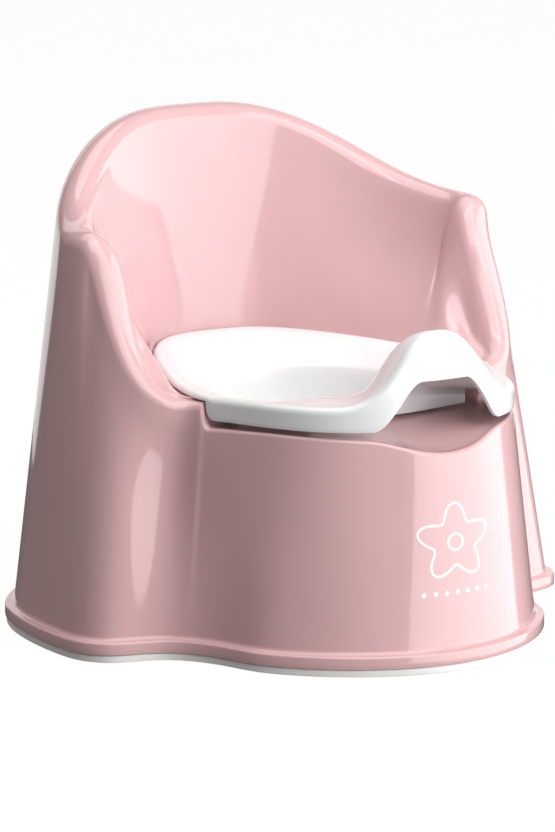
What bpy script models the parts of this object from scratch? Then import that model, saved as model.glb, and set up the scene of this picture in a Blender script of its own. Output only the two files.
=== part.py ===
"""Toddler's potty chair: a moulded tub chair, its lift-out potty and a soft base strip.

Units are metres, +Z is up and the seat faces -Y. The chair is symmetric about X = 0.
Outlines are given in millimetres for the +X half, from the back centre to the front
centre, and are closed by a smooth spline mirrored about X = 0.
"""
import math

import bmesh
import bpy
import numpy as np

MM = 0.001
Y_SHIFT = 4.5            # moves the outlines so that the footprint is centred on Y = 0

# Chair shell
WALL = 2.6               # moulded wall thickness
FLANGE_WIDTH = 6.0       # foot flange, measured out from the wall
FLANGE_BOTTOM = 5.0
FLANGE_TOP = 13.0
FLANGE_ROUND = 1.6
FOOT_FILLET = 3.0
WALL_DRAFT = 7.0         # degrees, lean of the outer wall where it meets the rolled rim
LOBE_DROP = 16.0         # how far the front lobe's edge lies below the arm line
LOBE_STEP_Y = -56.5      # the edge drops here, just behind the potty's side aprons
LOBE_STEP_RUN = 6.0
CORNER_POWER = 2.4       # shape of the drop: steep at first, rounded at the end
WAIST_STATION = 10       # the hollow between arm and lobe lies just past this station
WAIST_OFFSET = 8.0
WAIST_DEPTH = 8.0
WAIST_REACH = 17.0
WAIST_PEAK = 6.75        # makes the hollow deepest two thirds of the way up
RIM_LEAN = 0.45          # forward lean of the rolled rim on its steepest fall
RIM_LEAN_REACH = 14.0    # the lean spreads this far along the rim
INNER_TANGENT = 0.45     # how far the rim's curve is carried into the inner wall

# Flange edge (x, y), rim crest (x, y, z), rim radius, rim turn in degrees, seat edge (x, y)
SHELL_STATIONS = (
    ((0.0, 176.0), (0.0, 131.0, 324.0), 12.0, 168.0, (0.0, 108.5)),
    ((58.0, 170.0), (45.0, 126.5, 321.5), 12.0, 168.0, (33.0, 103.5)),
    ((108.0, 150.0), (86.0, 107.5, 307.0), 12.5, 168.0, (58.0, 83.0)),
    ((145.0, 121.0), (113.8, 84.6, 288.0), 12.5, 168.0, (75.0, 58.0)),
    ((168.0, 93.0), (130.5, 63.5, 275.0), 12.0, 168.0, (83.5, 41.0)),
    ((181.0, 62.0), (142.7, 41.5, 267.5), 12.0, 168.0, (92.0, 22.5)),
    ((188.0, 25.0), (149.0, 20.0, 265.0), 12.0, 168.0, (99.5, 6.5)),
    ((190.0, -8.0), (144.2, 3.0, 254.0), 12.5, 168.0, (105.0, -7.5)),
    ((187.0, -30.0), (143.5, -11.0, 222.0), 12.0, 166.0, (109.0, -19.0)),
    ((175.0, -46.0), (139.5, -25.5, 190.0), 11.5, 158.0, (112.0, -30.0)),
    ((157.0, -53.0), (130.0, -38.0, 168.5), 9.0, 115.0, (112.9, -41.0)),
    ((141.0, -60.0), (116.0, -46.0, 162.3), 6.5, 96.0, (105.7, -53.0)),
    ((128.5, -74.0), (106.0, -64.0, 162.5), 5.0, 95.0, (100.0, -63.0)),
    ((119.0, -96.0), (98.0, -85.0, 163.0), 4.0, 95.0, (92.5, -82.5)),
    ((112.0, -117.0), (89.8, -103.5, 163.5), 4.0, 95.0, (84.0, -99.0)),
    ((97.5, -138.0), (78.8, -122.5, 163.3), 4.0, 95.0, (73.5, -116.5)),
    ((76.5, -158.0), (62.3, -139.5, 162.5), 4.0, 95.0, (57.5, -132.5)),
    ((48.0, -175.0), (40.3, -153.5, 160.0), 4.0, 96.0, (36.5, -145.0)),
    ((24.0, -183.0), (20.5, -162.3, 154.5), 4.5, 98.0, (18.5, -151.5)),
    ((0.0, -185.5), (0.0, -164.5, 152.0), 5.0, 99.0, (0.0, -153.5)),
)
SHELL_SPAN_COLUMNS = (3, 3, 2, 2, 1, 2, 2, 2, 2, 2, 2, 3, 2, 1, 2, 2, 2, 1, 1)
OPENING_CENTRE = (0.0, -18.0)
OPENING_HALF = (84.0, 87.5)      # seat opening: half width, half length
OPENING_BACK_Y = 99.0
SEAT_DROP = 3.5                  # seat ledge below the potty's edge line
SEAT_LEDGE_FALL = 8.5            # the ledge falls this much towards the opening
LOBE_SHELF_Z = 149.6             # front shelf height at the opening

# Potty
POTTY_WALL = 2.5
# Outer edge (x, y) and bowl mouth (x, y)
POTTY_STATIONS = (
    ((0.0, 107.0), (0.0, 61.0)),
    ((34.0, 101.5), (24.0, 56.0)),
    ((60.0, 79.0), (46.0, 38.0)),
    ((79.0, 48.0), (59.0, 17.0)),
    ((94.0, 15.0), (66.0, -5.0)),
    ((105.0, -12.0), (68.0, -24.0)),
    ((110.0, -31.0), (67.0, -38.0)),
    ((112.0, -45.0), (65.5, -48.0)),
    ((111.5, -56.0), (64.0, -55.0)),
    ((108.0, -66.0), (62.5, -61.0)),
    ((102.0, -81.0), (59.0, -71.0)),
    ((95.5, -98.0), (53.5, -81.0)),
    ((86.0, -118.0), (45.0, -90.0)),
    ((70.0, -139.0), (34.0, -95.5)),
    ((50.0, -153.0), (22.0, -99.5)),
    ((26.0, -161.5), (11.0, -101.0)),
    ((0.0, -164.5), (0.0, -101.5)),
)
POTTY_SPAN_COLUMNS = (2, 2, 2, 2, 1, 2, 1, 3, 3, 1, 2, 2, 3, 3, 3, 2)
EDGE_Z = 166.0           # potty edge at the aprons
EDGE_RISE = 0.052        # the edge climbs this much per mm towards the back
EDGE_RISE_Y = -62.0
APRON_Z = 151.0          # lower edge of the side aprons
APRON_STEP_Y = -59.0     # the aprons begin here
APRON_STEP_RUN = 6.0
EDGE_ROUND = 3.0         # edge radius of the seat rim
APRON_ROUND = 4.5
GUARD_RISE = 44.5        # splash guard above the edge line
GUARD_WIDTH = 40.7
GUARD_ROUND = 5.0        # extra crest radius at the guard's centre
GUARD_LEAN = 0.12        # the guard's outer face leans back
ARCH_RISE = 30.0         # finger arch above the apron's lower edge
ARCH_HALF = 49.0
ARCH_RAMP = 32.0
MOUTH_Z = 156.5
MOUTH_RISE = 7.0         # the bowl's mouth climbs this much at the front
MOUTH_RISE_Y = -70.0
MOUTH_RISE_RUN = 26.0
BOWL_CENTRE_Y = -22.0
# Bowl wall: share of the mouth outline, height
BOWL_PROFILE = (
    (0.975, 152.0), (0.95, 138.0), (0.90, 106.0), (0.80, 82.0),
    (0.58, 66.5), (0.27, 62.4),
)
BOWL_BOTTOM_Z = 62.0
SKIRT_STATION = 12       # the front skirt reaches from here to its mirror image
SKIRT_END = 0.6          # the skirt's end is this steep along the outline
SKIRT_Y = -108.5
SKIRT_BEND = 0.0021
SKIRT_WALL = 2.3
SKIRT_BOTTOM = 150.8
RIM_SPLIT = 0.6          # where the dish's rows lie away from the skirt

# Base strip
STRIP_INSET = 1.0
STRIP_WIDTH = 5.5
STRIP_TOP = 4.7


def smooth_step(value):
    """0 below 0, 1 above 1, smooth between."""
    t = np.clip(value, 0.0, 1.0)
    return t * t * (3.0 - 2.0 * t)


def corner_step(value):
    """0 below 0, 1 above 1, steep at first and rounded at the end."""
    t = np.clip(value, 0.0, 1.0)
    return (1.0 - (1.0 - t) ** CORNER_POWER) ** (1.0 / CORNER_POWER)


def full_loop(points):
    """Half-loop (x, y, ...) stations to the full closed loop, mirrored about X = 0."""
    half = np.array(points, dtype=float)
    other = half[-2:0:-1].copy()
    other[:, 0] *= -1.0
    return np.vstack([half, other])


def full_values(values):
    """The same for plain values, which keep their sign."""
    half = np.array(values, dtype=float)
    return np.concatenate([half, half[-2:0:-1]])


def loop_knots(outline):
    """Arc length along a closed outline, at each station and back at the start."""
    closed = np.vstack([outline, outline[:1]])
    steps = np.linalg.norm(np.diff(closed, axis=0), axis=1)
    return np.concatenate([[0.0], np.cumsum(steps)])


def column_places(knots, span_columns):
    """Spline parameter of each mesh column, with its own count for each span."""
    counts = list(span_columns) + list(span_columns)[::-1]
    places = []
    for start, end, count in zip(knots[:-1], knots[1:], counts):
        places.extend(start + (end - start) * k / count for k in range(count))
    return np.array(places)


def closed_spline(knots, values, places):
    """Smooth closed cubic through values at knots: its points and its derivatives."""
    values = np.array(values, dtype=float)
    if values.ndim == 1:
        values = values[:, None]
    count = len(values)
    gaps = np.diff(knots)
    matrix = np.zeros((count, count))
    right = np.zeros_like(values)
    for i in range(count):
        before = gaps[i - 1]
        after = gaps[i]
        matrix[i, i - 1] += before
        matrix[i, i] += 2.0 * (before + after)
        matrix[i, (i + 1) % count] += after
        rise = (values[(i + 1) % count] - values[i]) / after
        right[i] = 6.0 * (rise - (values[i] - values[i - 1]) / before)
    bends = np.linalg.solve(matrix, right)
    spans = np.clip(np.searchsorted(knots, places, side="right") - 1, 0, count - 1)
    following = (spans + 1) % count
    gap = gaps[spans][:, None]
    along = (places - knots[spans])[:, None]
    back = gap - along
    points = (bends[spans] * back ** 3 + bends[following] * along ** 3) / (6.0 * gap)
    points += (values[spans] / gap - bends[spans] * gap / 6.0) * back
    points += (values[following] / gap - bends[following] * gap / 6.0) * along
    slopes = (bends[following] * along ** 2 - bends[spans] * back ** 2) / (2.0 * gap)
    slopes += (values[following] - values[spans]) / gap
    slopes -= gap * (bends[following] - bends[spans]) / 6.0
    return points, slopes


def outward(slopes):
    """Outward unit normals in plan of a loop that runs from the back towards +X."""
    normals = np.column_stack([-slopes[:, 1], slopes[:, 0]])
    return normals / np.linalg.norm(normals, axis=1)[:, None]


def lift(plan, height):
    """Plan points with a height each."""
    return np.column_stack([plan, np.broadcast_to(height, len(plan))])


def edge_height(plan):
    """Height of the potty's edge line, with the splash guard's wave at the front."""
    front = smooth_step((-90.0 - plan[:, 1]) / 30.0)
    wave = np.exp(-(np.abs(plan[:, 0]) / GUARD_WIDTH) ** 3)
    rise = EDGE_RISE * np.maximum(plan[:, 1] - EDGE_RISE_Y, 0.0)
    return EDGE_Z + rise + GUARD_RISE * wave * front


def new_object(name, vertices, faces, plastic):
    """A smooth-shaded mesh object from points in millimetres."""
    mesh = bpy.data.meshes.new(name)
    shifted = (np.array(vertices) + (0.0, Y_SHIFT, 0.0)) * MM
    mesh.from_pydata([tuple(point) for point in shifted], [], faces)
    mesh.materials.append(plastic)
    made = bpy.data.objects.new(name, mesh)
    bpy.context.scene.collection.objects.link(made)
    mesh.shade_smooth()
    return made


def grid_faces(row_count, column_count):
    """Quads between neighbouring rows of a closed loft, facing its visible side."""
    faces = []
    for row in range(row_count):
        near = row * column_count
        far = near + column_count
        for column in range(column_count):
            side = (column + 1) % column_count
            faces.append((near + column, far + column, far + side, near + side))
    return faces


def wall_offsets(vertices, faces, thickness):
    """The visible points moved to the hidden side of a wall of even thickness."""
    mesh = bmesh.new()
    made = [mesh.verts.new(point) for point in vertices]
    for face in faces:
        mesh.faces.new([made[index] for index in face])
    mesh.normal_update()
    moved = [v.co - v.normal * thickness * v.calc_shell_factor() for v in made]
    mesh.free()
    return np.array([tuple(point) for point in moved])


def make_wall(name, rows, plastic, thickness, pole=None, reshape=None):
    """A moulded wall: visible rows, hidden rows behind them and the edges between."""
    columns = len(rows[0])
    faces = grid_faces(len(rows) - 1, columns)
    last = (len(rows) - 1) * columns
    visible = np.vstack(rows)
    if pole is not None:
        visible = np.vstack([visible, [pole]])
        tip = len(visible) - 1
        for column in range(columns):
            faces.append((last + column, tip, last + (column + 1) % columns))
    hidden = wall_offsets(visible, faces, thickness)
    if reshape is not None:
        reshape(hidden, columns)
    count = len(visible)
    faces += [tuple(index + count for index in face[::-1]) for face in faces]
    for column in range(columns):
        side = (column + 1) % columns
        faces.append((column, side, side + count, column + count))
        if pole is None:
            near = last + column
            far = last + side
            faces.append((far, near, near + count, far + count))
    return new_object(name, np.vstack([visible, hidden]), faces, plastic)


def material(name, colour, roughness):
    """A plain Principled plastic."""
    made = bpy.data.materials.new(name)
    made.use_nodes = True
    shader = made.node_tree.nodes["Principled BSDF"]
    shader.inputs["Base Color"].default_value = (*colour, 1.0)
    shader.inputs["Roughness"].default_value = roughness
    shader.inputs["Metallic"].default_value = 0.0
    return made


def rim_lean(crest, knots, places):
    """Direction over the rim's crest: up, leaning a little forward where the crest falls."""
    along = np.roll(crest, -1, axis=0) - np.roll(crest, 1, axis=0)
    fall = -along[:, 2] / np.linalg.norm(along, axis=1)
    flat = along[:, :2] / np.linalg.norm(along[:, :2], axis=1)[:, None]
    lean = flat * (RIM_LEAN * fall)[:, None]
    gap = np.abs(places[:, None] - places[None, :])
    gap = np.minimum(gap, knots[-1] - gap)
    weight = np.exp(-(gap / RIM_LEAN_REACH) ** 2)
    weight *= np.gradient(np.concatenate([places, [knots[-1]]]))[:-1]
    lean = weight @ lean / weight.sum(axis=1)[:, None]
    return np.column_stack([lean, np.sqrt(1.0 - (lean ** 2).sum(axis=1))])


def shell_rows():
    """Rows of the chair's visible surface, from the foot flange up and over to the seat."""
    flange_edge = full_loop([station[0] for station in SHELL_STATIONS])
    knots = loop_knots(flange_edge)
    places = column_places(knots, SHELL_SPAN_COLUMNS)
    flange, slopes = closed_spline(knots, flange_edge, places)
    out = outward(slopes)
    crest, crest_slopes = closed_spline(
        knots, full_loop([station[1] for station in SHELL_STATIONS]), places)
    rim_out = outward(crest_slopes[:, :2])
    radius = closed_spline(
        knots, full_values([station[2] for station in SHELL_STATIONS]), places)[0]
    turn = closed_spline(
        knots, full_values([station[3] for station in SHELL_STATIONS]), places)[0][:, 0]
    seat = closed_spline(
        knots, full_loop([station[4] for station in SHELL_STATIONS]), places)[0]
    lobe = corner_step((LOBE_STEP_Y - crest[:, 1]) / LOBE_STEP_RUN)
    over = rim_lean(crest, knots, places)
    crest[:, 2] -= LOBE_DROP * lobe

    foot = flange - out * FLANGE_WIDTH
    rows = [
        lift(flange, FLANGE_BOTTOM),
        lift(flange, FLANGE_TOP - FLANGE_ROUND),
        lift(flange - out * FLANGE_ROUND, FLANGE_TOP),
        lift(foot + out * FOOT_FILLET * 0.4, FLANGE_TOP + 0.2),
        lift(foot - out * FOOT_FILLET * 0.1, FLANGE_TOP + FOOT_FILLET),
    ]
    aside = lift(rim_out, 0.0)
    centre = crest - over * radius

    def rim_point(degrees):
        angle = np.radians(degrees)[:, None]
        return centre + (aside * np.cos(angle) + over * np.sin(angle)) * radius

    start = np.full(len(places), WALL_DRAFT)
    wall_top = rim_point(start)
    wall_foot = rows[-1]
    waist = knots[WAIST_STATION] + WAIST_OFFSET
    gap = np.minimum(np.abs(places - waist), np.abs(places - (knots[-1] - waist)))
    hollow = lift(out * (WAIST_DEPTH * np.exp(-(gap / WAIST_REACH) ** 2))[:, None], 0.0)
    for share in (0.33, 0.67):
        deep = share ** 2 * (1.0 - share) * WAIST_PEAK
        rows.append(wall_foot + (wall_top - wall_foot) * share - hollow * deep)
    for share in (0.0, 0.2, 0.4, 0.6, 0.8, 1.0):
        rows.append(rim_point(start + (turn - start) * share))

    ledge_height = edge_height(seat) - SEAT_DROP
    shelf_height = crest[:, 2] + 0.4
    seat_height = ledge_height + (shelf_height - ledge_height) * lobe
    seat_edge = np.column_stack([seat, seat_height])
    rim_end = rows[-1]
    end = np.radians(turn)[:, None]
    leave = over * np.cos(end) - aside * np.sin(end)
    span = seat_edge - rim_end
    reach_in = np.linalg.norm(span, axis=1)[:, None] * INNER_TANGENT
    for share in (0.33, 0.67, 0.93):
        bow = 3.0 * share * (1.0 - share) ** 2 * (leave * reach_in - span / 3.0)
        rows.append(rim_end + span * share + bow)
    rows.append(seat_edge)

    toward = seat - np.array(OPENING_CENTRE)
    angle = np.arctan2(toward[:, 1], toward[:, 0])
    reach = np.where(np.sin(angle) > 0.0, OPENING_BACK_Y - OPENING_CENTRE[1], OPENING_HALF[1])
    polar = 1.0 / np.hypot(np.cos(angle) / OPENING_HALF[0], np.sin(angle) / reach)
    ray = np.column_stack([np.cos(angle), np.sin(angle)])
    opening = np.array(OPENING_CENTRE) + ray * polar[:, None]
    opening_height = seat_height - SEAT_LEDGE_FALL
    opening_height = opening_height + (LOBE_SHELF_Z - opening_height) * lobe
    edge = np.column_stack([opening, opening_height])
    rows.append(seat_edge + (edge - seat_edge) * 0.5)
    rows.append(edge)
    return rows


def make_shell(plastic):
    """The chair: one moulding, open underneath, with a rolled rim and a seat opening."""
    return make_wall("chair_shell", shell_rows(), plastic, WALL)


def potty_columns():
    """Knots and columns of the potty's outline, with a pair at each end of the skirt."""
    edge_line = full_loop([station[0] for station in POTTY_STATIONS])
    knots = loop_knots(edge_line)
    places = column_places(knots, POTTY_SPAN_COLUMNS)
    skirt_end = knots[SKIRT_STATION] - SKIRT_END
    places = np.sort(np.append(places, (skirt_end, knots[-1] - skirt_end)))
    in_skirt = (places > skirt_end + 0.1) & (places < knots[-1] - skirt_end - 0.1)
    return edge_line, knots, places, in_skirt


def dish_split(curve, in_skirt):
    """Where each column of the dish crosses the skirt's outer and inner face."""
    steps = np.linspace(0.0, 1.0, 201)
    points = np.array([curve(np.full(len(in_skirt), step)) for step in steps])
    ahead = points[:, :, 1] - SKIRT_Y - SKIRT_BEND * points[:, :, 0] ** 2
    splits = []
    for wall, spare in ((0.0, RIM_SPLIT), (SKIRT_WALL, RIM_SPLIT + 0.05)):
        place = np.full(len(in_skirt), spare)
        for column in np.flatnonzero(in_skirt):
            place[column] = np.interp(wall, ahead[:, column], steps)
        splits.append(place)
    return splits


def potty_rows():
    """Rows of the potty's visible surface, from the outer lower edge in to the bowl.

    Returns the rows, the index of the row over the skirt's outer face, and which
    columns have the skirt below them.
    """
    edge_line, knots, places, in_skirt = potty_columns()
    edge, slopes = closed_spline(knots, edge_line, places)
    out = outward(slopes)
    mouth = closed_spline(
        knots, full_loop([station[1] for station in POTTY_STATIONS]), places)[0]

    apron = smooth_step((APRON_STEP_Y - edge[:, 1]) / APRON_STEP_RUN)
    top = edge_height(edge)
    guard = (top - EDGE_Z) / GUARD_RISE * apron
    arch = ARCH_RISE * smooth_step((ARCH_HALF - np.abs(edge[:, 0])) / ARCH_RAMP) * apron
    rim_bottom = top - EDGE_ROUND - 0.3
    apron_drop = corner_step((APRON_STEP_Y - edge[:, 1]) / APRON_STEP_RUN)
    bottom = rim_bottom + (APRON_Z - rim_bottom) * apron_drop + arch
    round_size = EDGE_ROUND + (APRON_ROUND - EDGE_ROUND) * apron + GUARD_ROUND * guard

    def outer_point(height):
        lean = GUARD_LEAN * np.maximum(height - EDGE_Z, 0.0) * apron
        return np.column_stack([edge - out * lean[:, None], height])

    shoulder = top - round_size
    rows = [outer_point(bottom), outer_point((bottom + shoulder) / 2.0), outer_point(shoulder)]
    face_top = rows[-1]
    for degrees in (30.0, 60.0, 90.0):
        turn = math.radians(degrees)
        inset = round_size * (1.0 - math.cos(turn))
        plan = face_top[:, :2] - out * inset[:, None]
        rows.append(np.column_stack([plan, shoulder + round_size * math.sin(turn)]))

    crest = rows[-1]
    climb = smooth_step((MOUTH_RISE_Y - mouth[:, 1]) / MOUTH_RISE_RUN)
    mouth_edge = lift(mouth, MOUTH_Z + MOUTH_RISE * climb)
    inward = mouth_edge[:, :2] - crest[:, :2]
    leave = crest.copy()
    leave[:, :2] += inward * 0.34
    leave[:, 2] -= 1.0
    arrive = mouth_edge.copy()
    arrive[:, :2] -= inward * (0.30 - 0.20 * guard)[:, None]
    arrive[:, 2] += 4.5 + 24.0 * guard

    def dish(place):
        t = place[:, None]
        s = 1.0 - t
        near = s ** 3 * crest + 3.0 * s * s * t * leave
        return near + 3.0 * s * t * t * arrive + t ** 3 * mouth_edge

    front, back = dish_split(dish, in_skirt)
    rows += [dish(front * share) for share in (0.33, 0.67, 1.0)]
    over_skirt = len(rows) - 1
    rows += [dish(front + (back - front) * share) for share in (0.3, 0.7, 1.0)]
    rows += [dish(back + (1.0 - back) * share) for share in (0.5, 1.0)]

    centre = np.array((0.0, BOWL_CENTRE_Y))
    for share, height in BOWL_PROFILE:
        rows.append(lift(centre + (mouth - centre) * share, height))
    return rows, over_skirt, in_skirt


def make_potty(plastic):
    """The lift-out potty: bowl, dished rim, side aprons, splash guard and front skirt."""
    rows, over_skirt, in_skirt = potty_rows()

    def drop_skirt(hidden, columns):
        for row, above in ((over_skirt + 1, over_skirt), (over_skirt + 2, over_skirt + 3)):
            for column in np.flatnonzero(in_skirt):
                hidden[row * columns + column, :2] = hidden[above * columns + column, :2]
                hidden[row * columns + column, 2] = SKIRT_BOTTOM

    pole = (0.0, BOWL_CENTRE_Y, BOWL_BOTTOM_Z)
    return make_wall("inner_potty", rows, plastic, POTTY_WALL, pole, drop_skirt)


def make_strip(plastic):
    """The soft strip that the chair stands on, a ring under the foot flange."""
    flange_edge = full_loop([station[0] for station in SHELL_STATIONS])
    knots = loop_knots(flange_edge)
    places = column_places(knots, SHELL_SPAN_COLUMNS)
    flange, slopes = closed_spline(knots, flange_edge, places)
    out = outward(slopes)
    outer = flange - out * STRIP_INSET
    inner = flange - out * (STRIP_INSET + STRIP_WIDTH)
    rows = [
        lift(outer, 0.0),
        lift(outer, STRIP_TOP),
        lift(inner, STRIP_TOP),
        lift(inner, 0.0),
    ]
    columns = len(places)
    around = len(rows) * columns
    faces = [tuple(index % around for index in face) for face in grid_faces(len(rows), columns)]
    return new_object("non_slip_strip", np.vstack(rows), faces, plastic)


def main():
    for old in list(bpy.data.objects):
        bpy.data.objects.remove(old, do_unlink=True)
    pink = material("pink_plastic", (0.80, 0.47, 0.49), 0.18)
    white = material("white_plastic", (0.86, 0.86, 0.85), 0.20)
    rubber = material("strip_rubber", (0.80, 0.80, 0.78), 0.55)
    make_shell(pink)
    make_potty(white)
    make_strip(rubber)


main()
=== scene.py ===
"""Toddler's potty chair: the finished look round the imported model.

Outlines, sizes and heights are in millimetres; the scene, its lights and its camera are in
metres. +Z is up and the seat faces -Y.
"""

import math

import bmesh
import bpy
import numpy as np
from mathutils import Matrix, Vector
from mathutils.bvhtree import BVHTree

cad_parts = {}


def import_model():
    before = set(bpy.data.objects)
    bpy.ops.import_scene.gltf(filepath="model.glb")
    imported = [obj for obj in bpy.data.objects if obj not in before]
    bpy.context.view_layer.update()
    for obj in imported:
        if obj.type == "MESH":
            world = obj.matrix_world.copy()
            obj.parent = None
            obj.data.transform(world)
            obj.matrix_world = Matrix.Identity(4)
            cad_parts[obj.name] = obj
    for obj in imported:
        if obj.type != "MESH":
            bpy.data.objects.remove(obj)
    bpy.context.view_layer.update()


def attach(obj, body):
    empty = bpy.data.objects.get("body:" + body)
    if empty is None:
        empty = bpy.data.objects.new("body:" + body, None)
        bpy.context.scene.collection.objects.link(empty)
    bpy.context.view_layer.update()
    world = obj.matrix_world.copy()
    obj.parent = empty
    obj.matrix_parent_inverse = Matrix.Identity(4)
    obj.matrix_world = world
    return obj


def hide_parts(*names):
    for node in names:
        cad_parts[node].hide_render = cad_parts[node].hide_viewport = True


MM = 0.001
Y_SHIFT = 4.5            # moves the outlines so that the footprint is centred on Y = 0

# Chair shell
WALL = 2.6               # moulded wall thickness
FLANGE_WIDTH = 6.0       # foot flange, measured out from the wall
FLANGE_BOTTOM = 5.0
FLANGE_TOP = 13.0
FLANGE_ROUND = 1.6
FOOT_FILLET = 3.0        # radius between the flange's top and the wall
FOOT_LEAN = 0.1          # share of it by which the wall's foot leans in
WALL_DRAFT = 7.0         # degrees, lean of the outer wall where it meets the rolled rim
LOBE_DROP = 16.0         # how far the front lobe's edge lies below the arm line
LOBE_STEP_Y = -56.5      # the edge drops here, just behind the potty's side aprons
LOBE_STEP_RUN = 6.0
CORNER_POWER = 2.4       # of the rounded end of such a step; 2 would be a circle
WAIST_STATION = 10       # the hollow between arm and lobe is centred past this station,
WAIST_OFFSET = 8.0       # by this much along the flange's edge
WAIST_DEPTH = 8.0
WAIST_REACH = 17.0
WAIST_PEAK = 6.75        # makes the hollow reach its depth two thirds of the way up

# From the back's middle to the front's, on the +X side: flange edge (x, y), rim crest
# (x, y, z), rim radius, how far the rim rolls over in degrees, and seat edge (x, y)
SHELL_STATIONS = (
    ((0.0, 176.0), (0.0, 131.0, 324.0), 12.0, 168.0, (0.0, 108.5)),
    ((58.0, 170.0), (45.0, 126.5, 321.5), 12.0, 168.0, (33.0, 103.5)),
    ((108.0, 150.0), (86.0, 107.5, 307.0), 12.5, 168.0, (58.0, 83.0)),
    ((145.0, 121.0), (113.8, 84.6, 288.0), 12.5, 168.0, (75.0, 58.0)),
    ((168.0, 93.0), (130.5, 63.5, 275.0), 12.0, 168.0, (83.5, 41.0)),
    ((181.0, 62.0), (142.7, 41.5, 267.5), 12.0, 168.0, (92.0, 22.5)),
    ((188.0, 25.0), (149.0, 20.0, 265.0), 12.0, 168.0, (99.5, 6.5)),
    ((190.0, -8.0), (144.2, 3.0, 254.0), 12.5, 168.0, (105.0, -7.5)),
    ((187.0, -30.0), (143.5, -11.0, 222.0), 12.0, 166.0, (109.0, -19.0)),
    ((175.0, -46.0), (139.5, -25.5, 190.0), 11.5, 158.0, (112.0, -30.0)),
    ((157.0, -53.0), (130.0, -38.0, 168.5), 9.0, 115.0, (112.9, -41.0)),
    ((141.0, -60.0), (116.0, -46.0, 162.3), 6.5, 96.0, (105.7, -53.0)),
    ((128.5, -74.0), (106.0, -64.0, 162.5), 5.0, 95.0, (100.0, -63.0)),
    ((119.0, -96.0), (98.0, -85.0, 163.0), 4.0, 95.0, (92.5, -82.5)),
    ((112.0, -117.0), (89.8, -103.5, 163.5), 4.0, 95.0, (84.0, -99.0)),
    ((97.5, -138.0), (78.8, -122.5, 163.3), 4.0, 95.0, (73.5, -116.5)),
    ((76.5, -158.0), (62.3, -139.5, 162.5), 4.0, 95.0, (57.5, -132.5)),
    ((48.0, -175.0), (40.3, -153.5, 160.0), 4.0, 96.0, (36.5, -145.0)),
    ((24.0, -183.0), (20.5, -162.3, 154.5), 4.5, 98.0, (18.5, -151.5)),
    ((0.0, -185.5), (0.0, -164.5, 152.0), 5.0, 99.0, (0.0, -153.5)),
)
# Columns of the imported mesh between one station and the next
SHELL_SPAN_COLUMNS = (3, 3, 2, 2, 1, 2, 2, 2, 2, 2, 2, 3, 2, 1, 2, 2, 2, 1, 1)
OPENING_CENTRE = (0.0, -18.0)
OPENING_HALF = (84.0, 87.5)      # seat opening: half width, and reach to the front
OPENING_BACK_Y = 99.0            # the opening's back end
SEAT_DROP = 3.5                  # seat ledge below the potty's edge line
SEAT_LEDGE_FALL = 8.5            # the ledge falls this much towards the opening
LOBE_SHELF_Z = 149.6             # front shelf height at the opening
SHELF_LIFT = 0.4                 # the shelf starts this much above the lobe's crest

# Potty
POTTY_WALL = 2.5
# From the back's middle to the front's, on the +X side: outer edge (x, y), bowl mouth (x, y)
POTTY_STATIONS = (
    ((0.0, 107.0), (0.0, 61.0)),
    ((34.0, 101.5), (24.0, 56.0)),
    ((60.0, 79.0), (46.0, 38.0)),
    ((79.0, 48.0), (59.0, 17.0)),
    ((94.0, 15.0), (66.0, -5.0)),
    ((105.0, -12.0), (68.0, -24.0)),
    ((110.0, -31.0), (67.0, -38.0)),
    ((112.0, -45.0), (65.5, -48.0)),
    ((111.5, -56.0), (64.0, -55.0)),
    ((108.0, -66.0), (62.5, -61.0)),
    ((102.0, -81.0), (59.0, -71.0)),
    ((95.5, -98.0), (53.5, -81.0)),
    ((86.0, -118.0), (45.0, -90.0)),
    ((70.0, -139.0), (34.0, -95.5)),
    ((50.0, -153.0), (22.0, -99.5)),
    ((26.0, -161.5), (11.0, -101.0)),
    ((0.0, -164.5), (0.0, -101.5)),
)
POTTY_SPAN_COLUMNS = (2, 2, 2, 2, 1, 2, 1, 3, 3, 1, 2, 2, 3, 3, 3, 2)
EDGE_Z = 166.0           # potty edge at the aprons
EDGE_RISE = 0.052        # the edge climbs this much per mm towards the back
EDGE_RISE_Y = -62.0
APRON_Z = 151.0          # lower edge of the side aprons
APRON_STEP_Y = -59.0     # the aprons begin here
APRON_STEP_RUN = 6.0
EDGE_ROUND = 3.0         # edge radius of the seat rim
EDGE_SKIN = 0.3          # straight edge below that radius
APRON_ROUND = 4.5        # the same radius along the aprons
GUARD_RISE = 44.5        # splash guard above the edge line
GUARD_WIDTH = 40.7
GUARD_START_Y = -90.0    # the guard grows in front of this
GUARD_START_RUN = 30.0
GUARD_ROUND = 5.0        # extra crest radius at the guard's centre
GUARD_LEAN = 0.12        # the guard's outer face leans back
ARCH_RISE = 30.0         # finger arch above the apron's lower edge
ARCH_HALF = 49.0
ARCH_RAMP = 32.0
MOUTH_Z = 156.5
MOUTH_RISE = 7.0         # the bowl's mouth climbs this much at the front
MOUTH_RISE_Y = -70.0
MOUTH_RISE_RUN = 26.0
# The dish's curve from crest to mouth: shares of the way in, and heights, of its two handles
LEAVE_SHARE = 0.34
LEAVE_DROP = 1.0
ARRIVE_SHARE = 0.30
ARRIVE_RISE = 4.5
ARRIVE_GUARD_SHARE = 0.20    # the guard's centre has this much less
ARRIVE_GUARD_RISE = 24.0     # and this much more height
BOWL_CENTRE_Y = -22.0
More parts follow.
